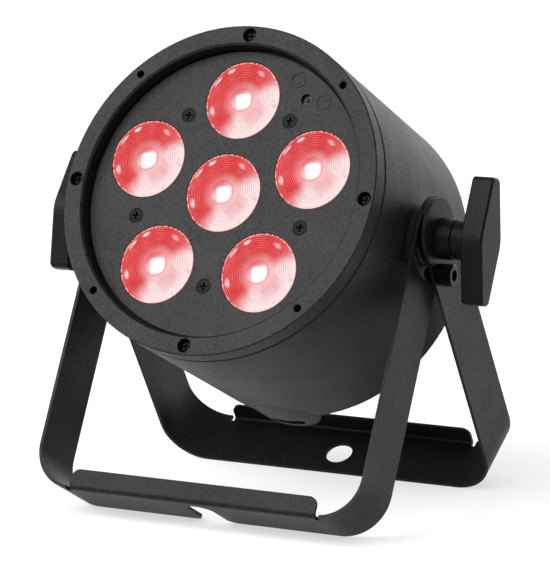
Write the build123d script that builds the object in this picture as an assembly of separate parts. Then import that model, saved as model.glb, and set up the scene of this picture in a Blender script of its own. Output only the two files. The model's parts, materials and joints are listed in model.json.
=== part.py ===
from build123d import *
from math import asin, atan2, cos, degrees, hypot, pi, radians, sin, sqrt
import os

# A compact par light: a round head with six lenses, hung between two U-shaped brackets that share
# one pivot and stand apart as a floor stand. Millimetres, +X right, +Y back, +Z up.
# The origin is on the floor, under the middle of the whole light.

# ---- Stand and pose at rest ----
HEAD_TILT = 25.1            # the face looks up by this much
FRONT_LEAN = 27.2           # front bracket, from upright
REAR_LEAN = 32.3            # rear bracket, from upright
PIVOT_Y = -3.81             # centres the whole light over the origin
FACE_TO_PIVOT = 53.35       # front of the bezel to the tilt axis

# ---- Brackets: flat steel strap ----
STRAP_WIDTH = 30.0
STRAP = 1.5                 # strap thickness
FRONT_OUTSIDE_X = 81.7      # outer face of the front bracket's arms
REAR_OUTSIDE_X = 86.3       # outer face of the rear bracket's arms
FRONT_REACH = 135.4         # tilt axis to the underside of the front bracket
BEND_OUTSIDE_R = 20.0
ARM_END_CENTRE = 4.0        # rounded arm end: its centre above the tilt axis
LIP_HEIGHT = 9.5
LIP_HALF_FRONT = 61.5
LIP_HALF_REAR = 63.5
LIP_BEND_R = 2.2
RELIEF = 2.0                # saw cut at each end of a lip
CLAMP_HOLE_R = 6.5
CLAMP_HOLE_OFFSET = -2.5    # towards the edge that has the lip on the front bracket
NOTCH_MOUTH_R = 4.5
PIVOT_HOLE_R = 4.25

# ---- Stop bolt: fixed in the rear bracket, runs in a curved slot of the front bracket ----
STOP_ALONG = 12.2
STOP_ACROSS = -10.3
STOP_R = 3.0
STOP_HEAD_R = 5.0
STOP_HEAD_HEIGHT = 6.0
SPRING_WASHER = 1.6
STOP_NUT = 2.4
SLOT_CLEARANCE = 0.3
SLOT_SPARE_ANGLE = 1.2
CLOSED_OPENING = 1.0        # angle left between the brackets when they are folded together

# ---- Head ----
BEZEL_R = 76.4
BEZEL_BORE_R = 67.6
BEZEL_DEPTH = 8.8
SCREW_CIRCLE_R = 72.0
GASKET = 1.0
SHELL_BACK = 109.0
SHELL_BACK_R = 75.5
SHELL_BORE_R = 72.6
BOSS_R = 14.0
BOSS_FACE_X = 79.2
INSERT_R = 6.5
THREAD_R = 4.0              # M8 thread of the pivot inserts
PANEL_FRONT = 6.1
PANEL_BACK = 8.3
PANEL_R = 66.4
LENS_R = 18.2
LENS_CIRCLE_R = 43.3
PANEL_SCREW_CIRCLE_R = 43.2
LENS_BACK = 22.9
BOARD_FRONT = 24.2
BOARD_BACK = 25.8
SINK_BACK = 30.0
SINK_R = 68.2
FIN_BACK = 58.0
FIN_PITCH = 8.0
FIN = 2.0
LEDGE_BACK = 33.0
LEDGE_R = 62.0
SUPPLY_FRONT = 66.0
SUPPLY_BACK = 67.6
SUPPLY_SIDE = 100.0
CONTROL_FRONT = 93.0
CONTROL_BACK = 94.6
REAR_FRONT = 101.0
REAR_BACK = 103.5
REAR_R = 72.3
REAR_LEDGE_R = 67.0
SOCKET_XS = (-45.0, -15.0, 15.0, 45.0)
SOCKET_Y = -14.0
SOCKET_BACK = 105.1
SOCKET_R = 12.0
POWER_BORE_R = 10.4
POWER_FLOOR = 90.0
DATA_BORE_R = 9.6
DATA_FLOOR = 88.0
BUTTON_XS = (-24.0, -8.0, 8.0, 24.0)
BUTTON_Y = 17.0
BUTTON_R = 3.9

# ---- Clamp knobs ----
SLEEVE_R = 9.2
SLEEVE_END_X = 94.1
HUB_R = 8.9
KNOB_START_X = 94.4
BAR_START_X = 100.3
BAR_END_X = 110.6
BAR_HALF_LENGTH = 28.4
BAR_HALF_WIDTH = 11.3       # to the corner that the hub's rounding cuts off
BAR_END_HALF_WIDTH = 3.6
BAR_HUB_ROUNDING_R = 16.0
STUD_R = 3.95
STUD_START_X = 70.0
STUD_HEAD_X = 102.5
KNOB_LEAN_RIGHT = 11.5      # how far back each bar's top leans
KNOB_LEAN_LEFT = 23.0
LEFT_SLEEVE_SHORTER = 2.6   # the left knob sits this much closer in

# ---- Worked out from the above ----
PIVOT_Z = FRONT_REACH * cos(radians(FRONT_LEAN)) + STRAP_WIDTH / 2 * sin(radians(FRONT_LEAN))
REAR_REACH = (PIVOT_Z - STRAP_WIDTH / 2 * sin(radians(REAR_LEAN))) / cos(radians(REAR_LEAN))
PIVOT = (0, PIVOT_Y, PIVOT_Z)
STOP_RADIUS = hypot(STOP_ALONG, STOP_ACROSS)
STOP_ANGLE = degrees(atan2(STOP_ACROSS, STOP_ALONG))

# Head frame: +Z out of the face, +Y up the face, zero on the tilt axis.
HEAD = Plane(PIVOT, x_dir=(1, 0, 0), z_dir=(0, -cos(radians(HEAD_TILT)), sin(radians(HEAD_TILT))))


def bracket_frame(lean):
    """Frame of a bracket: +X right, +Y across the strap towards the back, -Z down its arms."""
    return Plane(PIVOT, x_dir=(1, 0, 0), z_dir=(0, -sin(radians(lean)), cos(radians(lean))))


FRONT = bracket_frame(-FRONT_LEAN)
REAR = bracket_frame(REAR_LEAN)
LENS_CENTRES = [(0.0, 0.0)] + [
    (LENS_CIRCLE_R * cos(radians(90 + 72 * k)), LENS_CIRCLE_R * sin(radians(90 + 72 * k)))
    for k in range(5)
]


# ---------------------------------------------------------------- helpers
def on_circle(radius, angle):
    return (radius * cos(radians(angle)), radius * sin(radians(angle)))


def disc(radius, front, back, centre=(0, 0)):
    """Cylinder along the head's axis between two depths behind the face."""
    x, y = centre
    return Pos(x, y, FACE_TO_PIVOT - (front + back) / 2) * Cylinder(radius, back - front)


def block(width, height, front, back, centre=(0, 0)):
    """Box in the head frame between two depths behind the face."""
    x, y = centre
    return Pos(x, y, FACE_TO_PIVOT - (front + back) / 2) * Box(width, height, back - front)


def cone(front_radius, back_radius, front, back, centre=(0, 0)):
    x, y = centre
    middle = FACE_TO_PIVOT - (front + back) / 2
    return Pos(x, y, middle) * Cone(back_radius, front_radius, back - front)


def turned(points):
    """Solid of revolution about the head's axis; points are (radius, depth behind the face)."""
    outline = Polyline(*[(r, FACE_TO_PIVOT - depth) for r, depth in points], close=True)
    return revolve(Plane.XZ * make_face(outline), Axis.Z)


def rod(radius, start, end, y=0, z=0):
    """Cylinder along X between two places."""
    return Pos((start + end) / 2, y, z) * Rot(0, 90, 0) * Cylinder(radius, abs(end - start))


def cross_recess(centre, front, size):
    """Tool for the cross recess in a screw head."""
    depth = 1.3
    arm = block(size, 0.26 * size, front - 0.1, front + depth, centre)
    return arm + block(0.26 * size, size, front - 0.1, front + depth, centre)


def pan_screw(centre, front, end, head_r, head_height, shank_r):
    """Pan-head screw facing forwards, with its head's top at depth front."""
    head = disc(head_r, front, front + head_height, centre)
    head = fillet(head.edges().group_by(Axis.Z)[-1], 0.45 * head_height)
    shank = disc(shank_r, front + head_height, end, centre)
    return head + shank - cross_recess(centre, front, 1.25 * head_r)


def rear_pan_screw(centre, top, end, head_r, head_height, shank_r):
    """Pan-head screw facing backwards, with its head's top at depth top."""
    head = disc(head_r, top - head_height, top, centre)
    head = fillet(head.edges().group_by(Axis.Z)[0], 0.45 * head_height)
    shank = disc(shank_r, end, top - head_height, centre)
    slot = block(1.25 * head_r, 0.33 * head_r, top - 1.1, top + 0.1, centre)
    slot += block(0.33 * head_r, 1.25 * head_r, top - 1.1, top + 0.1, centre)
    return head + shank - slot


def mirrored(shape):
    return mirror(shape, Plane.YZ)


def joined(shapes):
    total = shapes[0]
    for shape in shapes[1:]:
        total += shape
    return total


# ---------------------------------------------------------------- head: front
BEZEL_SCREW_ANGLES = (0, 90, 180, 270)
ACCESSORY_ANGLES = (45, 135, 225, 315)
COUNTERBORE_R = 3.3
COUNTERBORE_DEPTH = 4.3
BEZEL_SCREW_HOLE_R = 2.15
BEZEL_SCREW_R = 1.5
GASKET_BORE_R = 65.6
ACCESSORY_HOLE_R = 1.85
PANEL_SCREW_ANGLES = (54, 126, 198, 270, 342)
PANEL_SCREW_HEAD_R = 3.0
IR_CENTRE = (31.3, 45.4)
IR_HOLE_R = 2.5
STUD_MARKS = ((25.8, 53.8), (40.3, 44.2))


def bezel_ring():
    edge, bore_edge = 0.5, 0.9
    ring = turned([
        (BEZEL_BORE_R, bore_edge), (BEZEL_BORE_R + bore_edge, 0), (BEZEL_R - edge, 0), (BEZEL_R, edge),
        (BEZEL_R, BEZEL_DEPTH - 0.3), (BEZEL_R - 0.3, BEZEL_DEPTH), (BEZEL_BORE_R, BEZEL_DEPTH),
    ])
    for angle in BEZEL_SCREW_ANGLES:
        centre = on_circle(SCREW_CIRCLE_R, angle)
        ring -= disc(COUNTERBORE_R, -1, COUNTERBORE_DEPTH, centre)
        ring -= disc(BEZEL_SCREW_HOLE_R, 0, BEZEL_DEPTH + 1, centre)
    for angle in ACCESSORY_ANGLES:
        ring -= disc(ACCESSORY_HOLE_R, -1, BEZEL_DEPTH + 1, on_circle(SCREW_CIRCLE_R, angle))
    return ring


def bezel_gasket():
    ring = turned([(GASKET_BORE_R, BEZEL_DEPTH), (75.3, BEZEL_DEPTH),
                   (75.3, BEZEL_DEPTH + GASKET), (GASKET_BORE_R, BEZEL_DEPTH + GASKET)])
    for angle in BEZEL_SCREW_ANGLES + ACCESSORY_ANGLES:
        ring -= disc(2.3, 0, BEZEL_DEPTH + 5, on_circle(SCREW_CIRCLE_R, angle))
    return ring


def bezel_screws():
    return [
        pan_screw(on_circle(SCREW_CIRCLE_R, angle), 2.3, 16.5, 2.8, 2.0, BEZEL_SCREW_R)
        for angle in BEZEL_SCREW_ANGLES
    ]


def front_panel():
    edge = 0.3
    panel = turned([(0, PANEL_FRONT), (PANEL_R - edge, PANEL_FRONT), (PANEL_R, PANEL_FRONT + edge),
                    (PANEL_R, PANEL_BACK), (0, PANEL_BACK)])
    mark_depth = 0.25
    for x, y in STUD_MARKS:
        groove = RegularPolygon(3.7, 8) - RegularPolygon(3.25, 8)
        panel -= Pos(x, y, FACE_TO_PIVOT - PANEL_FRONT - mark_depth) * extrude(groove, 1)
    for centre in LENS_CENTRES:
        panel -= disc(LENS_R + 0.15, 0, 20, centre)
    for angle in PANEL_SCREW_ANGLES:
        centre = on_circle(PANEL_SCREW_CIRCLE_R, angle)
        panel -= cone(PANEL_SCREW_HEAD_R + 0.55, 1.6, PANEL_FRONT - 0.02, PANEL_FRONT + 1.7, centre)
        panel -= disc(1.6, 0, 20, centre)
    return panel - disc(IR_HOLE_R, 0, 20, IR_CENTRE)


def panel_screws():
    screws = []
    top = PANEL_FRONT + 0.2
    for angle in PANEL_SCREW_ANGLES:
        centre = on_circle(PANEL_SCREW_CIRCLE_R, angle)
        head = cone(PANEL_SCREW_HEAD_R, 1.45, top, top + 1.5, centre)
        shank = disc(1.45, top + 1.5, 14, centre)
        screws.append(head + shank - cross_recess(centre, top, 1.2 * PANEL_SCREW_HEAD_R))
    return screws


def panel_standoffs():
    pillars = []
    for angle in PANEL_SCREW_ANGLES:
        centre = on_circle(PANEL_SCREW_CIRCLE_R, angle)
        length = BOARD_FRONT - PANEL_BACK
        pillar = Pos(*centre, FACE_TO_PIVOT - BOARD_FRONT) * extrude(RegularPolygon(3.6, 6), length)
        pillar -= disc(1.45, PANEL_BACK - 1, 15, centre)
        pillars.append(pillar + disc(1.45, BOARD_FRONT - 0.5, SINK_BACK - 0.5, centre))
    return pillars


def ir_receiver():
    body = block(7, 7, PANEL_BACK, 13, IR_CENTRE)
    window = disc(IR_HOLE_R - 0.2, 7.9, PANEL_BACK, IR_CENTRE)
    dome = Pos(*IR_CENTRE, FACE_TO_PIVOT - 8.1) * Sphere(1.1)
    return body + window + dome


def lens(centre):
    """Collimating lens: shallow domed front, tapering body, cup at the back over the emitter."""
    x, y = centre
    front, rim, rim_back, cup = 5.0, PANEL_FRONT + 0.1, 8.6, 18.6
    profile = make_face([
        ThreePointArc((0, FACE_TO_PIVOT - front), (9.4, FACE_TO_PIVOT - front - 0.3),
                      (LENS_R, FACE_TO_PIVOT - rim)),
        Polyline((LENS_R, FACE_TO_PIVOT - rim), (LENS_R, FACE_TO_PIVOT - rim_back),
                 (16.8, FACE_TO_PIVOT - rim_back), (8.8, FACE_TO_PIVOT - LENS_BACK),
                 (4.6, FACE_TO_PIVOT - LENS_BACK), (4.1, FACE_TO_PIVOT - cup),
                 (0, FACE_TO_PIVOT - cup), (0, FACE_TO_PIVOT - front)),
    ])
    return Pos(x, y, 0) * revolve(Plane.XZ * profile, Axis.Z)


def lens_body_radius(depth):
    return 8.8 + 8.0 * (LENS_BACK - depth) / (LENS_BACK - 8.6)


def lens_holder():
    plate_front, seat_front, seat_r, gap = 23.0, 18.0, 14.0, 0.15
    holder = disc(60, plate_front, BOARD_FRONT)
    for centre in LENS_CENTRES:
        holder += disc(seat_r, seat_front, BOARD_FRONT, centre)
    for centre in LENS_CENTRES:
        holder -= cone(lens_body_radius(seat_front) + gap, lens_body_radius(plate_front) + gap,
                       seat_front, plate_front, centre)
        holder -= disc(5.6, plate_front - 1, BOARD_FRONT + 1, centre)
    for angle in PANEL_SCREW_ANGLES:
        holder -= disc(4.0, 10, 30, on_circle(PANEL_SCREW_CIRCLE_R, angle))
    return holder


def leds():
    emitters = []
    for centre in LENS_CENTRES:
        package = block(7, 7, BOARD_FRONT - 1.0, BOARD_FRONT, centre)
        dome = Sphere(3.0, arc_size1=0, align=(Align.CENTER, Align.CENTER, Align.MIN))
        emitters.append(package + Pos(*centre, FACE_TO_PIVOT - BOARD_FRONT + 1.0) * dome)
    return emitters


def led_board():
    board = disc(58, BOARD_FRONT, BOARD_BACK)
    for angle in PANEL_SCREW_ANGLES:
        board -= disc(1.6, 20, 30, on_circle(PANEL_SCREW_CIRCLE_R, angle))
    return board


SINK_SCREW_ANGLES = (90, 210, 330)
SINK_SCREW_CIRCLE_R = 65.2


def heat_sink():
    sink = disc(SINK_R, BOARD_BACK, SINK_BACK)
    reach = LEDGE_R - 3.0
    count = int((reach - 6) // FIN_PITCH)
    for k in range(-count, count + 1):
        x = k * FIN_PITCH
        sink += block(FIN, 2 * sqrt(reach ** 2 - x ** 2), SINK_BACK - 0.5, FIN_BACK, (x, 0))
    for angle in PANEL_SCREW_ANGLES:
        sink -= disc(1.45, BOARD_BACK - 1, SINK_BACK, on_circle(PANEL_SCREW_CIRCLE_R, angle))
    for angle in SINK_SCREW_ANGLES:
        sink -= disc(1.7, BOARD_BACK - 1, SINK_BACK + 1, on_circle(SINK_SCREW_CIRCLE_R, angle))
    return sink


def heat_sink_screws():
    return [
        pan_screw(on_circle(SINK_SCREW_CIRCLE_R, angle), BOARD_BACK - 2.0, LEDGE_BACK, 2.8, 2.0, 1.5)
        for angle in SINK_SCREW_ANGLES
    ]


# ---------------------------------------------------------------- head: shell and rear
SUPPLY_HOLE = 46.5
REAR_SCREW_CIRCLE_R = 69.7
EYE_HALF_WIDTH = 16.5
EYE_BACK = 117.6
EYE_CORNER_R = 9.0
EYE_UNDER = 77.3            # its underside, from the head's axis
EYE_SWELL_R = 40.0          # the underside is rounder than the shell, so it swells out of it


def shell_radius(depth):
    seam = BEZEL_DEPTH + GASKET
    return BEZEL_R + (SHELL_BACK_R - BEZEL_R) * (depth - seam) / (SHELL_BACK - seam)


def shell_outside():
    return cone(BEZEL_R, SHELL_BACK_R, BEZEL_DEPTH + GASKET, SHELL_BACK)


def safety_eye():
    """Loop under the back edge of the shell, for a safety cable; it swells smoothly out of the shell."""
    front, full, thickness = 82.0, 107.0, 2.4
    centre = EYE_UNDER - EYE_SWELL_R
    inside = shell_radius(front) - 0.5 - centre
    swell = turned([(0, front), (inside, front), (EYE_SWELL_R, full), (EYE_SWELL_R, EYE_BACK), (0, EYE_BACK)])
    bore = disc(EYE_SWELL_R - thickness, SHELL_BACK, EYE_BACK + 1)
    body = Pos(0, -centre, 0) * (swell - bore)
    middle = FACE_TO_PIVOT - (front + EYE_BACK) / 2
    plan = Pos(0, -EYE_UNDER, middle) * Box(2 * EYE_HALF_WIDTH, 16, EYE_BACK - front)
    plan = fillet(plan.edges().filter_by(Axis.Y).group_by(Axis.Z)[0], EYE_CORNER_R)
    window = Pos(0, -EYE_UNDER, FACE_TO_PIVOT - 112.15) * Box(16.4, 16, 6.0)
    window = fillet(window.edges().filter_by(Axis.Y), 2.6)
    return (body & plan) - window - shell_outside()


def shell():
    seam = BEZEL_DEPTH + GASKET
    body = turned([
        (68.6, seam), (BEZEL_R - 0.6, seam), (BEZEL_R, seam + 0.6),
        (SHELL_BACK_R, SHELL_BACK - 1.4), (SHELL_BACK_R - 1.4, SHELL_BACK),
        (SHELL_BORE_R, SHELL_BACK), (SHELL_BORE_R, REAR_FRONT), (REAR_LEDGE_R, REAR_FRONT),
        (REAR_LEDGE_R, REAR_FRONT - 4), (SHELL_BORE_R, REAR_FRONT - 4),
        (SHELL_BORE_R, LEDGE_BACK), (LEDGE_R, LEDGE_BACK), (LEDGE_R, SINK_BACK),
        (SHELL_BORE_R, SINK_BACK), (SHELL_BORE_R, 18), (68.6, 18),
    ])
    boss = rod(BOSS_R, 64, BOSS_FACE_X)
    boss = chamfer(boss.edges().group_by(Axis.X)[-1], 0.8)
    body += boss + mirrored(boss)
    body -= rod(INSERT_R, 60, 90) + rod(INSERT_R, -90, -60)
    for angle in BEZEL_SCREW_ANGLES:
        body -= disc(BEZEL_SCREW_R, 0, 17, on_circle(SCREW_CIRCLE_R, angle))
    for angle in SINK_SCREW_ANGLES:
        body -= disc(1.5, SINK_BACK - 1, LEDGE_BACK + 1, on_circle(SINK_SCREW_CIRCLE_R, angle))
    for angle in ACCESSORY_ANGLES:
        body -= disc(1.5, REAR_FRONT - 5, REAR_FRONT + 1, on_circle(REAR_SCREW_CIRCLE_R, angle))
        body -= disc(ACCESSORY_HOLE_R, 0, 17, on_circle(SCREW_CIRCLE_R, angle))
    for x in (-SUPPLY_HOLE, SUPPLY_HOLE):
        for y in (-SUPPLY_HOLE, SUPPLY_HOLE):
            body -= disc(1.5, SINK_BACK - 1, LEDGE_BACK + 1, (x, y))
    return body


def pivot_inserts():
    insert = rod(INSERT_R, 64, BOSS_FACE_X) - rod(THREAD_R, 60, 90)
    return [insert, mirrored(insert)]


def boss_washers():
    washer = rod(12.5, BOSS_FACE_X, 80.15) - rod(PIVOT_HOLE_R, 70, 90)
    return [washer, mirrored(washer)]


def supply_places():
    return [(x, y) for x in (-SUPPLY_HOLE, SUPPLY_HOLE) for y in (-SUPPLY_HOLE, SUPPLY_HOLE)]


def supply_pillars():
    pillars = []
    for centre in supply_places():
        length = SUPPLY_FRONT - LEDGE_BACK
        pillar = Pos(*centre, FACE_TO_PIVOT - SUPPLY_FRONT) * extrude(RegularPolygon(3.4, 6), length)
        pillar += disc(1.5, SINK_BACK + 0.2, LEDGE_BACK + 0.5, centre)
        pillars.append(pillar - disc(1.5, SUPPLY_FRONT - 7, SUPPLY_FRONT + 1, centre))
    return pillars


def supply_board():
    board = block(SUPPLY_SIDE, SUPPLY_SIDE, SUPPLY_FRONT, SUPPLY_BACK)
    board = fillet(board.edges().filter_by(Axis.Z), 4)
    for centre in supply_places():
        board -= disc(1.7, 60, 70, centre)
    return board


def supply_screws():
    return [
        rear_pan_screw(centre, SUPPLY_BACK + 2.0, SUPPLY_FRONT - 6, 2.8, 2.0, 1.5)
        for centre in supply_places()
    ]


def supply_transformer():
    core = block(30, 24, SUPPLY_BACK, SUPPLY_BACK + 18, (-18, 24))
    return fillet(core.edges().filter_by(Axis.Z), 2)


def supply_capacitors():
    cans = []
    for centre in ((12, 26), (32, 26)):
        can = disc(8, SUPPLY_BACK, SUPPLY_BACK + 20, centre)
        cans.append(fillet(can.edges().group_by(Axis.Z)[0], 1.2))
    return cans


WINDOW_CENTRE = (0, 42)
WINDOW = (40.0, 20.0)
FUSE_CENTRE = (0, -48)


def rear_panel():
    panel = disc(REAR_R, REAR_FRONT, REAR_BACK)
    panel -= block(WINDOW[0] - 4, WINDOW[1] - 4, REAR_FRONT - 1, REAR_BACK + 1, WINDOW_CENTRE)
    panel -= block(WINDOW[0], WINDOW[1], REAR_BACK - 1.0, REAR_BACK + 1, WINDOW_CENTRE)
    for x in BUTTON_XS:
        panel -= disc(BUTTON_R + 0.3, REAR_FRONT - 1, REAR_BACK + 1, (x, BUTTON_Y))
    for x in SOCKET_XS:
        panel -= disc(SOCKET_R, REAR_FRONT - 1, REAR_BACK + 1, (x, SOCKET_Y))
        for centre in socket_screw_places(x):
            panel -= disc(1.4, REAR_FRONT - 1, REAR_BACK + 1, centre)
    for angle in ACCESSORY_ANGLES:
        panel -= disc(1.7, REAR_FRONT - 1, REAR_BACK + 1, on_circle(REAR_SCREW_CIRCLE_R, angle))
    return panel - disc(6.0, REAR_FRONT - 1, REAR_BACK + 1, FUSE_CENTRE)


def rear_panel_screws():
    return [
        rear_pan_screw(on_circle(REAR_SCREW_CIRCLE_R, angle), REAR_BACK + 2.0, REAR_FRONT - 3.5,
                       2.5, 2.0, 1.5)
        for angle in ACCESSORY_ANGLES
    ]


def display_window():
    pane = block(WINDOW[0] - 0.2, WINDOW[1] - 0.2, REAR_BACK - 1.0, REAR_BACK + 0.2, WINDOW_CENTRE)
    return fillet(pane.edges().filter_by(Axis.Z), 1)


def display_module():
    return block(38, 18, CONTROL_BACK, REAR_FRONT - 0.3, WINDOW_CENTRE)


def control_board():
    board = block(70, 42, CONTROL_FRONT, CONTROL_BACK, (0, 35))
    return fillet(board.edges().filter_by(Axis.Z), 2)


def button_switches():
    switches = []
    for x in BUTTON_XS:
        body = block(6, 6, CONTROL_BACK, CONTROL_BACK + 1.2, (x, BUTTON_Y))
        switches.append(body + disc(1.6, CONTROL_BACK, CONTROL_BACK + 1.5, (x, BUTTON_Y)))
    return switches


def button(x):
    """Round push button: crowned cap through the rear panel, flange behind it."""
    place = (x, BUTTON_Y)
    cap = disc(BUTTON_R, 97.0, REAR_BACK + 1.6, place)
    cap = fillet(cap.edges().group_by(Axis.Z)[0], 0.7)
    return cap + disc(5.2, 98.2, 100.6, place)


def socket_screw_places(x):
    return [(x - 9.5, SOCKET_Y + 12.0), (x + 9.5, SOCKET_Y - 12.0)]


def socket_shell(x, bore_r, bore_front):
    """Panel socket with a 26 by 31 flange and a round bore."""
    flange = block(26, 31, REAR_BACK, SOCKET_BACK, (x, SOCKET_Y))
    flange = fillet(flange.edges().filter_by(Axis.Z), 2.5)
    body = flange + disc(SOCKET_R, 82, SOCKET_BACK, (x, SOCKET_Y))
    for centre in socket_screw_places(x):
        body -= disc(1.7, 100, 110, centre)
    return body - disc(bore_r, bore_front, SOCKET_BACK + 1, (x, SOCKET_Y))


def data_pin_places(x):
    places = []
    for angle in (90, 210, 330):
        px, py = on_circle(4.8, angle)
        places.append((x + px, SOCKET_Y + py))
    return places


def dmx_inlet_pins():
    return [disc(1.2, DATA_FLOOR, 98, place) for place in data_pin_places(SOCKET_XS[2])]


def dmx_outlet_core():
    """Insert that the plug's shell slides over, with a hole for each pin."""
    core = disc(7.8, DATA_FLOOR, SOCKET_BACK - 0.6, (SOCKET_XS[3], SOCKET_Y))
    for place in data_pin_places(SOCKET_XS[3]):
        core -= disc(1.3, 93, SOCKET_BACK + 1, place)
    return core


def power_contacts():
    """Blades on the floors of both mains sockets."""
    blades = []
    for x, first in ((SOCKET_XS[0], 90), (SOCKET_XS[1], 30)):
        for k in range(3):
            px, py = on_circle(5.5, first + 120 * k)
            blades.append(block(1.6, 4, POWER_FLOOR, 95, (x + px, SOCKET_Y + py)))
    return blades


def socket_screws():
    return [
        rear_pan_screw(centre, SOCKET_BACK + 1.6, REAR_FRONT - 3, 2.5, 1.6, 1.4)
        for x in SOCKET_XS for centre in socket_screw_places(x)
    ]


def fuse_holder():
    body = disc(6.0, 84, REAR_BACK, FUSE_CENTRE)
    cap = disc(8.0, REAR_BACK, REAR_BACK + 2.5, FUSE_CENTRE)
    cap = fillet(cap.edges().group_by(Axis.Z)[0], 0.8)
    return body + cap - block(9, 1.6, REAR_BACK + 1.3, REAR_BACK + 4, FUSE_CENTRE)


# ---------------------------------------------------------------- brackets
def bent_strap(outside_x, reach):
    top = ARM_END_CENTRE + STRAP_WIDTH / 2
    outside = u_block(outside_x, reach, top, BEND_OUTSIDE_R)
    inside = u_block(outside_x - STRAP, reach - STRAP, top + 5, BEND_OUTSIDE_R - STRAP)
    ends = Pos(0, 0, ARM_END_CENTRE) * Rot(0, 90, 0) * Cylinder(STRAP_WIDTH / 2, 2 * outside_x)
    arms = Pos(0, 0, ARM_END_CENTRE) * Box(2 * outside_x, STRAP_WIDTH, 2 * reach,
                                           align=(Align.CENTER, Align.CENTER, Align.MAX))
    strap = (outside - inside) & (ends + arms)
    return strap - rod(PIVOT_HOLE_R, -outside_x - 1, outside_x + 1)


def u_block(half_width, reach, top, corner):
    """Solid with the outline of a U's side: a block with two rounded lower corners."""
    solid = Pos(0, 0, (top - reach) / 2) * Box(2 * half_width, STRAP_WIDTH, top + reach)
    return fillet(solid.edges().filter_by(Axis.Y).group_by(Axis.Z)[0], corner)


def lip(half_width, reach, side):
    """Stiffening lip folded up along one edge of the strap; side is -1 front or +1 back."""
    edge = side * STRAP_WIDTH / 2
    profile = make_face([
        Polyline((edge, LIP_HEIGHT - reach), (edge, LIP_BEND_R - reach)),
        RadiusArc((edge, LIP_BEND_R - reach), (edge - side * LIP_BEND_R, -reach), side * LIP_BEND_R),
        Polyline((edge - side * LIP_BEND_R, -reach), (edge - side * 6, -reach),
                 (edge - side * 6, STRAP - reach),
                 (edge - side * (STRAP + 0.8), STRAP - reach),
                 (edge - side * STRAP, STRAP + 0.8 - reach),
                 (edge - side * STRAP, LIP_HEIGHT - reach), (edge, LIP_HEIGHT - reach)),
    ])
    body = extrude(Plane.YZ * profile, half_width, both=True)
    corners = body.edges().filter_by(Axis.Y).group_by(Axis.Z)[-1]
    return fillet(corners, 4.0)


def lip_cuts(half_width, reach, side):
    """Removes the strap's plain edge where the lip is, and the relief cuts at its ends."""
    edge = side * STRAP_WIDTH / 2
    bend = Pos(0, edge - side * 1.5, -reach) * Box(2 * half_width, 3.2, 4)
    cut_x = half_width + RELIEF / 2
    relief = Pos(cut_x, edge - side * 1.75, -reach) * Box(RELIEF, 3.7, 4)
    return bend + relief + mirrored(relief)


def with_lip(strap, half_width, reach, side):
    return strap - lip_cuts(half_width, reach, side) + lip(half_width, reach, side)


def clamp_notch():
    """Notch for the clamp bolt, open at the back edge with a flared mouth."""
    length = STRAP_WIDTH / 2 - CLAMP_HOLE_OFFSET
    channel = Pos(0, CLAMP_HOLE_OFFSET + length / 2 + 1) * Rectangle(2 * CLAMP_HOLE_R, length + 2)
    mouth_r = NOTCH_MOUTH_R
    back = STRAP_WIDTH / 2
    mouth = Pos(0, back - mouth_r / 2 + 1) * Rectangle(2 * (CLAMP_HOLE_R + mouth_r), mouth_r + 2)
    outline = Pos(0, CLAMP_HOLE_OFFSET) * Circle(CLAMP_HOLE_R) + channel + mouth
    for side in (-1, 1):
        outline -= Pos(side * (CLAMP_HOLE_R + mouth_r), back - mouth_r) * Circle(mouth_r)
    return extrude(outline, 10, both=True)


def stop_slot():
    """Curved slot about the pivot; the stop bolt runs from one end to the other."""
    open_angle = STOP_ANGLE + FRONT_LEAN + REAR_LEAN
    closed_angle = STOP_ANGLE + CLOSED_OPENING
    start = closed_angle - SLOT_SPARE_ANGLE
    end = open_angle + SLOT_SPARE_ANGLE
    half = STOP_R + SLOT_CLEARANCE
    middle = (start + end) / 2

    def at(angle):
        return (STOP_RADIUS * sin(radians(angle)), -STOP_RADIUS * cos(radians(angle)))

    path = ThreePointArc(at(start), at(middle), at(end))
    outline = make_face(offset(path, half, side=Side.BOTH))
    return extrude(Plane.YZ * outline, 100, both=True)


def front_bracket():
    strap = bent_strap(FRONT_OUTSIDE_X, FRONT_REACH)
    strap = with_lip(strap, LIP_HALF_FRONT, FRONT_REACH, -1)
    strap -= Pos(0, 0, -FRONT_REACH) * clamp_notch()
    return strap - stop_slot()


def rear_bracket():
    strap = bent_strap(REAR_OUTSIDE_X, REAR_REACH)
    strap = with_lip(strap, LIP_HALF_REAR, REAR_REACH, 1)
    strap -= Pos(0, CLAMP_HOLE_OFFSET, -REAR_REACH) * Cylinder(CLAMP_HOLE_R, 20)
    return strap - rod(STOP_R, -100, 100, STOP_ACROSS, -STOP_ALONG)


def arm_washers():
    gap = 0.05
    inner_face = FRONT_OUTSIDE_X + gap
    washer = rod(10.5, inner_face, REAR_OUTSIDE_X - STRAP) - rod(PIVOT_HOLE_R, 70, 90)
    return [washer, mirrored(washer)]


def knurl(start, end):
    """Grooves along the outside of a cap screw's head."""
    grooves, depth = 28, 0.3
    cuts = []
    for k in range(grooves):
        y, z = on_circle(STOP_HEAD_R, 360 * k / grooves)
        turn = Rot(360 * k / grooves + 45, 0, 0)
        cuts.append(Pos((start + end) / 2, y, z) * turn * Box(end - start, 2 * depth, 2 * depth))
    return cuts


def stop_bolts():
    head_start = REAR_OUTSIDE_X + SPRING_WASHER
    head_end = head_start + STOP_HEAD_HEIGHT
    head = rod(STOP_HEAD_R, head_start, head_end)
    head = chamfer(head.edges().group_by(Axis.X)[-1], 0.6) - knurl(head_start + 1.2, head_end)
    socket = Pos(head_end - 3, 0, 0) * (Plane.YZ * extrude(RegularPolygon(2.9, 6), 4))
    bolt = head + rod(STOP_R, 80.4, head_start) - socket
    bolt = Pos(0, STOP_ACROSS, -STOP_ALONG) * bolt
    return [bolt, mirrored(bolt)]


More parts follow.
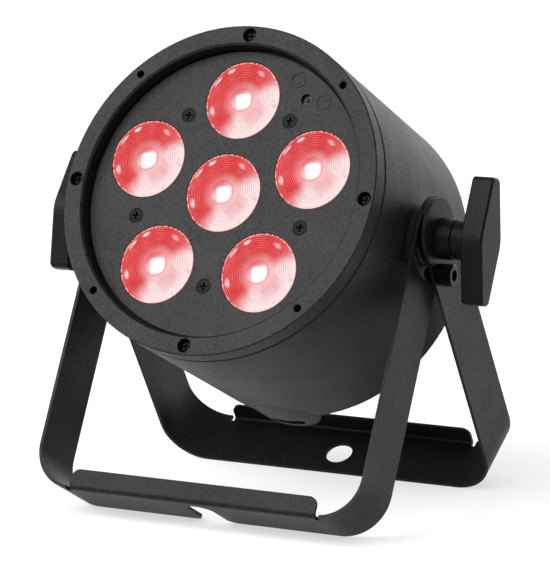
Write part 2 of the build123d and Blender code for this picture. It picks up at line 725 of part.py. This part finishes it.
def stop_bolt_washers():
    washer = rod(4.9, REAR_OUTSIDE_X, REAR_OUTSIDE_X + SPRING_WASHER) - rod(STOP_R, 80, 100)
    split = Pos(REAR_OUTSIDE_X + SPRING_WASHER / 2, 0, 4) * Rot(20, 0, 0) * Box(4, 0.8, 5)
    washer = Pos(0, STOP_ACROSS, -STOP_ALONG) * (washer - split)
    return [washer, mirrored(washer)]


def stop_nuts():
    inner_face = REAR_OUTSIDE_X - STRAP
    nut = rod(4.6, inner_face - STOP_NUT, inner_face) - rod(STOP_R, 80, 100)
    nut = Pos(0, STOP_ACROSS, -STOP_ALONG) * nut
    return [nut, mirrored(nut)]


# ---------------------------------------------------------------- clamp knobs
def clamp_sleeve(shorter):
    barrel = rod(SLEEVE_R, REAR_OUTSIDE_X + 0.05, SLEEVE_END_X - shorter)
    barrel = chamfer(barrel.edges(), 0.35)
    return barrel - rod(PIVOT_HOLE_R, 80, 100)


def knob_bar():
    """Wing bar, widest at the hub, with blunt ends and softened edges."""
    quarter = [(BAR_HALF_WIDTH, 0), (BAR_END_HALF_WIDTH, BAR_HALF_LENGTH)]
    top = quarter + [(-y, z) for y, z in reversed(quarter)]
    bottom = [(-y, -z) for y, z in top[1:3]]
    outline = make_face(Polyline(*top, *bottom, close=True))
    bar = Pos(BAR_START_X, 0, 0) * (Plane.YZ * extrude(outline, BAR_END_X - BAR_START_X))
    sides = bar.edges().filter_by(Axis.X)
    bar = fillet(sides.filter_by(lambda e: abs(e.center().Z) < 5), BAR_HUB_ROUNDING_R)
    sides = bar.edges().filter_by(Axis.X)
    bar = fillet(sides.filter_by(lambda e: abs(e.center().Z) > 20), 2.6)
    bar = fillet(bar.faces().sort_by(Axis.X)[0].edges(), 0.7)
    return chamfer(bar.faces().sort_by(Axis.X)[-1].edges(), 0.9)


def knob_stud():
    stud = rod(STUD_R, STUD_START_X, STUD_HEAD_X)
    head = Pos(STUD_HEAD_X - 0.5, 0, 0) * (Plane.YZ * extrude(RegularPolygon(6.5, 6), 5))
    return stud + head


def knob():
    hub = rod(HUB_R, KNOB_START_X, BAR_START_X + 1)
    hub = chamfer(hub.edges().group_by(Axis.X)[0], 0.4)
    return hub + knob_bar() - knob_stud()


# ---------------------------------------------------------------- all pieces
def head_pieces():
    pieces = {
        "bezel_ring": bezel_ring(),
        "bezel_gasket": bezel_gasket(),
        "bezel_screws": bezel_screws(),
        "front_panel": front_panel(),
        "panel_screws": panel_screws(),
        "panel_standoffs": panel_standoffs(),
        "ir_receiver": ir_receiver(),
        "lens_holder": lens_holder(),
        "leds": leds(),
        "led_board": led_board(),
        "heat_sink": heat_sink(),
        "heat_sink_screws": heat_sink_screws(),
        "shell": shell(),
        "safety_eye": safety_eye(),
        "pivot_inserts": pivot_inserts(),
        "supply_pillars": supply_pillars(),
        "supply_board": supply_board(),
        "supply_screws": supply_screws(),
        "supply_transformer": supply_transformer(),
        "supply_capacitors": supply_capacitors(),
        "rear_panel": rear_panel(),
        "rear_panel_screws": rear_panel_screws(),
        "display_window": display_window(),
        "display_module": display_module(),
        "control_board": control_board(),
        "button_switches": button_switches(),
        "power_inlet": socket_shell(SOCKET_XS[0], POWER_BORE_R, POWER_FLOOR),
        "power_outlet": socket_shell(SOCKET_XS[1], POWER_BORE_R, POWER_FLOOR),
        "power_contacts": power_contacts(),
        "dmx_inlet": socket_shell(SOCKET_XS[2], DATA_BORE_R, DATA_FLOOR),
        "dmx_inlet_pins": dmx_inlet_pins(),
        "dmx_outlet": socket_shell(SOCKET_XS[3], DATA_BORE_R, DATA_FLOOR),
        "dmx_outlet_core": dmx_outlet_core(),
        "socket_screws": socket_screws(),
        "fuse_holder": fuse_holder(),
    }
    for k, centre in enumerate(LENS_CENTRES):
        pieces[f"lens_{k + 1}"] = lens(centre)
    for k, x in enumerate(BUTTON_XS):
        pieces[f"menu_button_{k + 1}"] = button(x)
    return pieces


def clamp_pieces():
    pieces = {}
    for side, lean, closer in (("right", KNOB_LEAN_RIGHT, 0.0),
                               ("left", KNOB_LEAN_LEFT, LEFT_SLEEVE_SHORTER)):
        turn = Rot(-lean, 0, 0)
        inwards = Pos(-closer, 0, 0)
        for name, shape in (("clamp_sleeve", clamp_sleeve(closer)), ("knob", inwards * knob()),
                            ("knob_stud", inwards * knob_stud())):
            shape = turn * shape
            pieces[f"{name}_{side}"] = shape if side == "right" else mirrored(shape)
    return pieces


def in_frame(frame, shape):
    if isinstance(shape, list):
        return Compound(children=[frame * solid for solid in shape])
    return frame * shape


def all_pieces():
    upright = Plane(PIVOT)
    groups = [
        (HEAD, head_pieces()),
        (FRONT, {"front_bracket": front_bracket()}),
        (REAR, {
            "rear_bracket": rear_bracket(),
            "stop_bolts": stop_bolts(),
            "stop_bolt_washers": stop_bolt_washers(),
            "stop_nuts": stop_nuts(),
            "arm_washers": arm_washers(),
        }),
        (upright, {"boss_washers": boss_washers()}),
        (upright, clamp_pieces()),
    ]
    pieces = {}
    for frame, group in groups:
        for name, shape in group.items():
            pieces[name] = in_frame(frame, shape)
    return pieces


os.makedirs("parts", exist_ok=True)
for node, piece in all_pieces().items():
    export_step(piece, f"parts/{node}.step")
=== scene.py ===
import json
import math

import bmesh
import bpy
from mathutils import Matrix, Vector


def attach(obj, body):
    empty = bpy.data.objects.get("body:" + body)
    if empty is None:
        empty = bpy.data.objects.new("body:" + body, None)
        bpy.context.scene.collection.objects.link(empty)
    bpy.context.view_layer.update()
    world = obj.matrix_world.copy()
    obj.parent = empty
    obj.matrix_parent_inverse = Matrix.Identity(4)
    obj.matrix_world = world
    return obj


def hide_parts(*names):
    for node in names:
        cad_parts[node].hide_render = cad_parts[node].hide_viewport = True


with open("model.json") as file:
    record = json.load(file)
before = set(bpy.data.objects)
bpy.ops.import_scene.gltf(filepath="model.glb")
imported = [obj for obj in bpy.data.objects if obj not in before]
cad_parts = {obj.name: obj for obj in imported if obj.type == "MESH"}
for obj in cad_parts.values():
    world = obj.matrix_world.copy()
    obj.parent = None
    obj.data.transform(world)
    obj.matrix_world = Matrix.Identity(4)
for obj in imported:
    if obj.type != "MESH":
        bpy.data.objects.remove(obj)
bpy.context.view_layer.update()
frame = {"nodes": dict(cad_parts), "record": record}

MM = 0.001
nodes = frame["nodes"]
record = frame["record"]
mounts = {m["name"]: m for m in record["mounts"]}

# ---- Head frame: X right, Y up the face, Z out of the face, zero at the bezel's front centre ----
face_out = Vector(mounts["accessory_holes"]["axis"])
face_up = face_out.cross(Vector((1, 0, 0)))
HOLE_MIDDLE_DEPTH = 4.4   # the accessory holes are placed by the middle of the bezel's depth
face_centre = Vector(mounts["accessory_holes"]["pos_m"]) + face_out * HOLE_MIDDLE_DEPTH * MM
HEAD = Matrix.Translation(face_centre) @ Matrix((
    (1, 0, 0), (0, face_up.y, face_out.y), (0, face_up.z, face_out.z))).to_4x4()


# ------------------------------------------------------------------ camera
def make_camera():
    azimuth, elevation = math.radians(27.68), math.radians(9.29)
    distance, across, up_shift = 1.4675, -0.02546, 0.04092
    right = Vector((math.cos(azimuth), math.sin(azimuth), 0))
    ahead = Vector((-math.sin(azimuth) * math.cos(elevation),
                    math.cos(azimuth) * math.cos(elevation), -math.sin(elevation)))
    up = right.cross(ahead)
    data = bpy.data.cameras.new("camera")
    data.sensor_width = 36.0
    data.lens = 213.35
    data.clip_start = 0.05
    data.clip_end = 50.0
    camera = bpy.data.objects.new("camera", data)
    bpy.context.scene.collection.objects.link(camera)
    place = face_centre - right * across - up * up_shift - ahead * distance
    turn = Matrix((right, up, -ahead)).transposed()
    camera.matrix_world = Matrix.Translation(place) @ turn.to_4x4()
    bpy.context.scene.camera = camera


make_camera()


# ------------------------------------------------------------------ stage and lights
def new_mesh_object(name, mesh_builder):
    mesh = bpy.data.meshes.new(name)
    bm = bmesh.new()
    mesh_builder(bm)
    bm.to_mesh(mesh)
    bm.free()
    obj = bpy.data.objects.new(name, mesh)
    bpy.context.scene.collection.objects.link(obj)
    return obj


def build_floor(bm):
    bmesh.ops.create_grid(bm, x_segments=1, y_segments=1, size=6.0)


def material(name):
    mat = bpy.data.materials.new(name)
    mat.use_nodes = True
    tree = mat.node_tree
    tree.nodes.clear()
    out = tree.nodes.new("ShaderNodeOutputMaterial")
    shader = tree.nodes.new("ShaderNodeBsdfPrincipled")
    tree.links.new(shader.outputs["BSDF"], out.inputs["Surface"])
    return mat, tree, shader


def stage_material():
    mat, tree, shader = material("stage_white")
    shader.inputs["Base Color"].default_value = (0.5, 0.5, 0.5, 1)
    shader.inputs["Roughness"].default_value = 0.8
    shader.inputs["Specular IOR Level"].default_value = 0.1
    shader.inputs["Emission Color"].default_value = (1, 1, 1, 1)
    shader.inputs["Emission Strength"].default_value = 0.54
    return mat


floor = new_mesh_object("floor", build_floor)
floor.data.materials.append(stage_material())
floor.visible_diffuse = False

world = bpy.data.worlds.new("studio")
bpy.context.scene.world = world
world.use_nodes = True
# White to the eye, but a weaker source of light, so that dark coats keep their contrast.
SKY_LIGHT = 0.19
light_path = world.node_tree.nodes.new("ShaderNodeLightPath")
sky = world.node_tree.nodes.new("ShaderNodeMapRange")
sky.inputs["To Min"].default_value = SKY_LIGHT
sky.inputs["To Max"].default_value = 1.0
world.node_tree.links.new(light_path.outputs["Is Camera Ray"], sky.inputs["Value"])
background = world.node_tree.nodes["Background"]
background.inputs["Color"].default_value = (1, 1, 1, 1)
world.node_tree.links.new(sky.outputs["Result"], background.inputs["Strength"])


def sun(name, source, strength, spread):
    data = bpy.data.lights.new(name, "SUN")
    data.energy = strength
    data.angle = math.radians(spread)
    light = bpy.data.objects.new(name, data)
    bpy.context.scene.collection.objects.link(light)
    light.rotation_mode = "QUATERNION"
    light.rotation_quaternion = Vector(source).to_track_quat("Z", "Y")


SOFTBOX_SPREAD = 50   # degrees
# name: (direction the light comes from, strength)
SOFTBOXES = {
    "face_key": ((-0.46, -0.68, 0.57), 2.5),
    "overhead_front": ((0, -0.7, 0.75), 1.4),
    "side_left": ((-1, -0.3, 0.35), 1.6),
    "rim_back": ((0, 0.75, 0.65), 0.7),
    "rim_right": ((0.5, 0.85, 0.15), 0.4),
    "top_right": ((0.7, -0.2, 0.7), 0.15),
    "rear_fill": ((-0.1, 1, 0.08), 0.8),
    "side_right": ((1, 0.05, 0.3), 0.22),
}
for name, (source, strength) in SOFTBOXES.items():
    sun(name, source, strength, SOFTBOX_SPREAD)

scene = bpy.context.scene
scene.view_settings.view_transform = "Standard"
scene.view_settings.look = "None"


# ------------------------------------------------------------------ materials
def noise(tree, scale, detail=3.0, rough=0.5, vector=None):
    node = tree.nodes.new("ShaderNodeTexNoise")
    node.inputs["Scale"].default_value = scale
    node.inputs["Detail"].default_value = detail
    node.inputs["Roughness"].default_value = rough
    if vector is None:
        coords = tree.nodes.new("ShaderNodeTexCoord")
        vector = coords.outputs["Object"]
    tree.links.new(vector, node.inputs["Vector"])
    return node.outputs["Fac"]


def ramp(tree, fac, stops):
    node = tree.nodes.new("ShaderNodeValToRGB")
    elements = node.color_ramp.elements
    for k, (place, colour) in enumerate(stops):
        element = elements[k] if k < 2 else elements.new(place)
        element.position = place
        element.color = (*colour, 1)
    tree.links.new(fac, node.inputs["Fac"])
    return node.outputs["Color"]


def to_range(tree, fac, low, high, from_low=0.0, from_high=1.0):
    node = tree.nodes.new("ShaderNodeMapRange")
    node.inputs["From Min"].default_value = from_low
    node.inputs["From Max"].default_value = from_high
    node.inputs["To Min"].default_value = low
    node.inputs["To Max"].default_value = high
    tree.links.new(fac, node.inputs["Value"])
    return node.outputs["Result"]


def bump(tree, height, strength, distance, shader):
    node = tree.nodes.new("ShaderNodeBump")
    node.inputs["Strength"].default_value = strength
    node.inputs["Distance"].default_value = distance
    tree.links.new(height, node.inputs["Height"])
    tree.links.new(node.outputs["Normal"], shader.inputs["Normal"])


def math_node(tree, operation, a, b=None):
    node = tree.nodes.new("ShaderNodeMath")
    node.operation = operation
    for socket, value in zip(node.inputs, (a, b)):
        if value is None:
            continue
        if isinstance(value, (int, float)):
            socket.default_value = value
        else:
            tree.links.new(value, socket)
    return node.outputs[0]


def powder_coat(name, dark, light, rough, grain, depth, specular):
    """Black powder coat: pebbled grain, fine speckle, faint clouds of gloss."""
    mat, tree, shader = material(name)
    pebble = noise(tree, grain, 2.0, 0.6)
    speckle = noise(tree, 1.7 * grain, 1.0, 0.5)
    cloud = noise(tree, 45.0, 4.0, 0.55)
    tree.links.new(ramp(tree, pebble, [(0.32, dark), (0.68, light)]), shader.inputs["Base Color"])
    worn = math_node(tree, "ADD", to_range(tree, cloud, rough - 0.04, rough + 0.04, 0.3, 0.7),
                     to_range(tree, speckle, -0.08, 0.08, 0.3, 0.7))
    tree.links.new(worn, shader.inputs["Roughness"])
    shader.inputs["Specular IOR Level"].default_value = specular
    bump(tree, pebble, 0.8, depth, shader)
    return mat


def moulded(name, dark, light, rough, grain=1400.0, depth=0.00004, specular=0.25):
    mat, tree, shader = material(name)
    fine = noise(tree, grain, 3.0, 0.6)
    tree.links.new(ramp(tree, fine, [(0.3, dark), (0.7, light)]), shader.inputs["Base Color"])
    tree.links.new(to_range(tree, fine, rough - 0.05, rough + 0.05), shader.inputs["Roughness"])
    shader.inputs["Specular IOR Level"].default_value = specular
    bump(tree, fine, 0.5, depth, shader)
    return mat


def metal(name, dark, light, rough, grain=900.0):
    mat, tree, shader = material(name)
    fine = noise(tree, grain, 3.0, 0.6)
    tree.links.new(ramp(tree, fine, [(0.3, dark), (0.7, light)]), shader.inputs["Base Color"])
    tree.links.new(to_range(tree, fine, rough - 0.08, rough + 0.08), shader.inputs["Roughness"])
    shader.inputs["Metallic"].default_value = 1.0
    bump(tree, fine, 0.3, 0.00002, shader)
    return mat


def smooth_plastic(name, dark, light, rough):
    return moulded(name, dark, light, rough, 500.0, 0.00001)


MATERIALS = {
    "black_powder_coat": powder_coat("coat_head", (0.002, 0.002, 0.0021), (0.019, 0.019, 0.0193),
                                     0.50, 800.0, 0.00030, 0.2),
    "bracket_coat": powder_coat("coat_bracket", (0.001, 0.001, 0.0011), (0.013, 0.013, 0.0132),
                                0.46, 800.0, 0.00024, 0.16),
    "black_steel": metal("black_zinc", (0.003, 0.003, 0.003), (0.011, 0.011, 0.011), 0.32),
    "gasket_rubber": moulded("rubber", (0.008, 0.008, 0.008), (0.014, 0.014, 0.014), 0.8),
    "black_plastic": moulded("black_plastic", (0.001, 0.001, 0.0011), (0.007, 0.007, 0.0072),
                             0.38, 700.0, 0.0005, 0.11),
    "white_plastic": smooth_plastic("white_plastic", (0.70, 0.70, 0.71), (0.80, 0.80, 0.81), 0.4),
    "blue_plastic": smooth_plastic("blue_plastic", (0.03, 0.10, 0.42), (0.05, 0.14, 0.52), 0.4),
    "lens_plastic": smooth_plastic("lens_spare", (0.6, 0.05, 0.05), (0.7, 0.1, 0.1), 0.2),
    "emitter": smooth_plastic("emitter", (0.9, 0.8, 0.5), (0.95, 0.85, 0.6), 0.2),
    "board_white": smooth_plastic("board_white", (0.8, 0.8, 0.78), (0.86, 0.86, 0.84), 0.5),
    "board_green": smooth_plastic("board_green", (0.02, 0.16, 0.06), (0.03, 0.22, 0.09), 0.4),
    "bare_aluminium": metal("bare_aluminium", (0.62, 0.63, 0.65), (0.74, 0.75, 0.77), 0.35),
    "plated_steel": metal("zinc_plate", (0.5, 0.5, 0.5), (0.65, 0.65, 0.64), 0.3),
    "insert_brass": metal("turned_brass", (0.62, 0.45, 0.18), (0.72, 0.55, 0.25), 0.3),
    "dark_component": smooth_plastic("dark_component", (0.02, 0.02, 0.022),
                                     (0.03, 0.03, 0.033), 0.35),
    "window_plastic": smooth_plastic("smoked_window", (0.01, 0.012, 0.018),
                                     (0.014, 0.017, 0.025), 0.12),
    "button_plastic": moulded("button_plastic", (0.05, 0.05, 0.053), (0.07, 0.07, 0.074), 0.6),
}
slot_of = {s["node"]: s["material_slot"] for s in record["subparts"]}
for node, obj in nodes.items():
    obj.data.materials.clear()
    obj.data.materials.append(MATERIALS[slot_of[node]])


# ------------------------------------------------------------------ lenses
LENS_R = 18.2
LENS_CIRCLE_R = 43.3
LENS_RIM_DEPTH = 6.2
LENS_DOME = 1.1
RING_PITCH = 0.86
RIDGE = 0.06
CUP_R = 5.6
CUP_HEIGHT = 0.9
CUP_STEPS = 8
STEPS_PER_RING = 6
AROUND = 160
# Light and dark red of the painted glow of the lit lens
LENS_GLOW_RED = (0.80, 0.016, 0.019)
LENS_GLOW_RED_DARK = (0.48, 0.004, 0.006)


def lens_profile():
    """(radius, height above the rim) in mm across the lens face, rim to middle."""
    points = [(LENS_R - 0.05, -2.0), (LENS_R, -0.15), (LENS_R - 0.15, 0.0)]
    start, end = LENS_R - 0.4, CUP_R
    steps = int((start - end) / RING_PITCH * STEPS_PER_RING)
    for k in range(steps + 1):
        r = start + (end - start) * k / steps
        dome = LENS_DOME * (1 - (r / LENS_R) ** 2)
        ridge = RIDGE * math.cos(2 * math.pi * r / RING_PITCH)
        points.append((r, dome + ridge))
    cup_foot = LENS_DOME * (1 - (CUP_R / LENS_R) ** 2)
    for k in range(1, CUP_STEPS + 1):
        turn = math.pi / 2 * k / CUP_STEPS
        points.append((CUP_R * math.cos(turn), cup_foot + CUP_HEIGHT * math.sin(turn)))
    return points


def build_lens(bm):
    rings = []
    for r, height in lens_profile():
        if r < 1e-6:
            rings.append([bm.verts.new((0, 0, (height - LENS_RIM_DEPTH) * MM))])
            continue
        rings.append([
            bm.verts.new((r * MM * math.cos(2 * math.pi * a / AROUND),
                          r * MM * math.sin(2 * math.pi * a / AROUND),
                          (height - LENS_RIM_DEPTH) * MM))
            for a in range(AROUND)])
    for outer, inner in zip(rings, rings[1:]):
        for a in range(AROUND):
            b = (a + 1) % AROUND
            if len(inner) == 1:
                face = bm.faces.new((outer[a], outer[b], inner[0]))
            else:
                face = bm.faces.new((outer[a], outer[b], inner[b], inner[a]))
            face.smooth = True
    back = bm.faces.new(list(reversed(rings[0])))
    back.smooth = False


def mix_colour(tree, fac, a, b):
    node = tree.nodes.new("ShaderNodeMix")
    node.data_type = "RGBA"
    for socket, value in ((node.inputs[0], fac), (node.inputs[6], a), (node.inputs[7], b)):
        if isinstance(value, (int, float)):
            socket.default_value = value
        elif isinstance(value, tuple):
            socket.default_value = (*value, 1)
        else:
            tree.links.new(value, socket)
    return node.outputs[2]


def length(tree, x, y):
    squares = math_node(tree, "ADD", math_node(tree, "MULTIPLY", x, x),
                        math_node(tree, "MULTIPLY", y, y))
    return math_node(tree, "SQRT", squares)


def along(tree, x, y, degrees):
    """How far (x, y) lies along a direction in the plane."""
    angle = math.radians(degrees)
    return math_node(tree, "ADD", math_node(tree, "MULTIPLY", x, math.cos(angle)),
                     math_node(tree, "MULTIPLY", y, math.sin(angle)))


def smooth(tree, value, edge_0, edge_1):
    """0 at edge_0 to 1 at edge_1, with an S-shaped rise."""
    node = tree.nodes.new("ShaderNodeMapRange")
    node.interpolation_type = "SMOOTHSTEP"
    swap = edge_0 > edge_1
    node.inputs["From Min"].default_value = min(edge_0, edge_1)
    node.inputs["From Max"].default_value = max(edge_0, edge_1)
    node.inputs["To Min"].default_value = 1.0 if swap else 0.0
    node.inputs["To Max"].default_value = 0.0 if swap else 1.0
    tree.links.new(value, node.inputs["Value"])
    return node.outputs["Result"]


def times(tree, *factors):
    product = factors[0]
    for factor in factors[1:]:
        product = math_node(tree, "MULTIPLY", product, factor)
    return product


def painted_glint(tree, x, y, radius, degrees, half_width, half_length):
    """A soft painted highlight at a place on the lens, longer along the rim than across it."""
    across = math_node(tree, "SUBTRACT", along(tree, x, y, degrees), radius)
    tangent = along(tree, x, y, degrees + 90)
    size = length(tree, math_node(tree, "DIVIDE", across, half_width),
                  math_node(tree, "DIVIDE", tangent, half_length))
    return smooth(tree, size, 1.25, 0.35)


# Painted glints: highlights of studio lights painted into the lens glow at fixed places
# (radius, direction in degrees, half width, half length, strength), in mm on the lens face
GLINTS = [(15.6, 122, 0.9, 2.1, 0.9), (16.2, 150, 0.8, 3.0, 0.7), (15.2, 203, 1.3, 2.4, 0.75),
          (14.4, 62, 1.2, 2.4, 0.4)]


def painted_hot_spot(tree, x, y):
    """Painted hot spot, the emitter's image painted into the cup: a rounded square, white in the
    middle.
    """
    u = math_node(tree, "SUBTRACT", along(tree, x, y, 12), 1.0)
    v = math_node(tree, "ADD", along(tree, x, y, 102), 1.3)
    fourth = math_node(tree, "ADD", math_node(tree, "POWER", math_node(tree, "ABSOLUTE", u), 4.0),
                       math_node(tree, "POWER", math_node(tree, "ABSOLUTE", v), 4.0))
    return smooth(tree, math_node(tree, "POWER", fourth, 0.25), 4.3, 2.9)


def lens_material():
    """Lit collimator seen from the front, all painted as glow in the emission: painted red glow
    with painted ring lines, a painted pale lobe of light, painted glints and a dotted painted
    highlight near the rim, a painted halo and a painted hot spot in the cup, painted shade across
    the cup, a darker line at the cup's edge and dark red at the outer edge.
    """
    mat, tree, shader = material("lit_lens")
    coords = tree.nodes.new("ShaderNodeTexCoord").outputs["Object"]
    split = tree.nodes.new("ShaderNodeSeparateXYZ")
    tree.links.new(coords, split.inputs[0])
    x = math_node(tree, "MULTIPLY", split.outputs["X"], 1000.0)
    y = math_node(tree, "MULTIPLY", split.outputs["Y"], 1000.0)
    r = length(tree, x, y)
    grit = noise(tree, 1100.0, 2.0, 0.6, coords)
    patch = noise(tree, 170.0, 2.0, 0.6, coords)
    # Painted ring lines: lighter red on the red glow, darker red across the pale lobe, patchy,
    # outside the cup
    wave = math_node(tree, "SINE", math_node(tree, "MULTIPLY", r, 2 * math.pi / RING_PITCH))
    outside_cup = smooth(tree, r, CUP_R - 0.3, CUP_R + 0.3)
    ring = times(tree, smooth(tree, wave, -0.5, 0.8), outside_cup,
                 to_range(tree, patch, 0.4, 1.2, 0.3, 0.7))
    # Painted red glow of the lit lens, with fine grain, lightened along the ring lines
    body = ramp(tree, grit, [(0.3, LENS_GLOW_RED_DARK), (0.7, LENS_GLOW_RED)])
    body = mix_colour(tree, times(tree, ring, 0.6), body, (1.0, 0.28, 0.29))

    # Painted pale lobe of light over one side of the lens, lighter still toward the rim, with a
    # deeper red streak along its middle
    bearing = math_node(tree, "DIVIDE", along(tree, x, y, -38), math_node(tree, "ADD", r, 0.01))
    sector = smooth(tree, bearing, 0.02, 0.72)
    lobe = times(tree, sector, smooth(tree, r, 1.0, 12.0),
                 to_range(tree, patch, 0.65, 1.25, 0.32, 0.58))
    pale = mix_colour(tree, times(tree, ring, 0.75), (1.0, 0.92, 0.92), (0.72, 0.22, 0.23))
    rim_side = times(tree, smooth(tree, r, 12.0, 17.0), sector)
    pale = mix_colour(tree, times(tree, rim_side, 0.6), pale, (1.0, 0.84, 0.84))
    band = times(tree, smooth(tree, bearing, 0.82, 0.99), smooth(tree, r, 15.0, 11.0),
                 smooth(tree, r, 5.5, 8.5), to_range(tree, patch, 0.2, 1.0, 0.35, 0.6))
    pale = mix_colour(tree, times(tree, band, 0.6), pale, (0.86, 0.22, 0.24))
    colour = mix_colour(tree, lobe, body, pale)

    # Painted halo of light around the cup, stronger toward the lobe
    halo = times(tree, smooth(tree, r, 10.5, 5.0), to_range(tree, bearing, 0.22, 0.75, -1.0, 1.0))
    colour = mix_colour(tree, halo, colour, (1.0, 0.66, 0.67))
    # Painted glints near the rim, broken up by the grain
    for radius, degrees, half_width, half_length, strength in GLINTS:
        patch_of_light = painted_glint(tree, x, y, radius, degrees, half_width, half_length)
        sparkle = times(tree, patch_of_light, strength, to_range(tree, grit, 0.5, 1.3, 0.35, 0.65))
        colour = mix_colour(tree, sparkle, colour, (1.0, 0.84, 0.84))
    # Dotted painted highlight along the rim
    rim = times(tree, smooth(tree, r, 17.0, 17.5), smooth(tree, grit, 0.42, 0.6), 0.75)
    colour = mix_colour(tree, rim, colour, (1.0, 0.68, 0.68))

    # Dark red at the outer edge of the lens
    colour = mix_colour(tree, smooth(tree, r, 17.75, 18.1), colour, (0.16, 0.004, 0.005))

    # The cup in painted light: painted shade across it toward one side, the painted hot spot, and
    # a darker painted line at its edge
    in_cup = smooth(tree, r, CUP_R, CUP_R - 0.5)
    cup_shade = smooth(tree, along(tree, x, y, 125), 5.0, -1.0)
    cup = mix_colour(tree, cup_shade, (0.72, 0.14, 0.16), (0.98, 0.5, 0.52))
    cup = mix_colour(tree, painted_hot_spot(tree, x, y), cup, (1.0, 0.98, 0.98))
    colour = mix_colour(tree, in_cup, colour, cup)
    cup_edge = times(tree, smooth(tree, r, CUP_R - 0.7, CUP_R - 0.2),
                     smooth(tree, r, CUP_R + 0.4, CUP_R), 0.5)
    colour = mix_colour(tree, cup_edge, colour, (0.80, 0.25, 0.27))

    shader.inputs["Base Color"].default_value = (0.01, 0.001, 0.001, 1)
    # All the colour above is painted glow, given as emission
    tree.links.new(colour, shader.inputs["Emission Color"])
    shader.inputs["Emission Strength"].default_value = 1.0
    shader.inputs["Roughness"].default_value = 0.2
    shader.inputs["Specular IOR Level"].default_value = 0.05
    bump(tree, grit, 0.3, 0.00003, shader)
    return mat


def make_lenses():
    mat = lens_material()
    first = new_mesh_object("lens_face_1", build_lens)
    first.data.materials.append(mat)
    for k in range(6):
        obj = first
        if k:
            obj = bpy.data.objects.new(f"lens_face_{k + 1}", first.data.copy())
            bpy.context.scene.collection.objects.link(obj)
        angle = math.radians(90 + 72 * (k - 1))
        reach = LENS_CIRCLE_R if k else 0.0
        shift = Vector((reach * math.cos(angle), reach * math.sin(angle), 0)) * MM
        obj.matrix_world = HEAD @ Matrix.Translation(shift)
        obj.visible_diffuse = False
        obj.visible_glossy = False
        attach(obj, "head")
        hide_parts(f"lens_{k + 1}")


make_lenses()
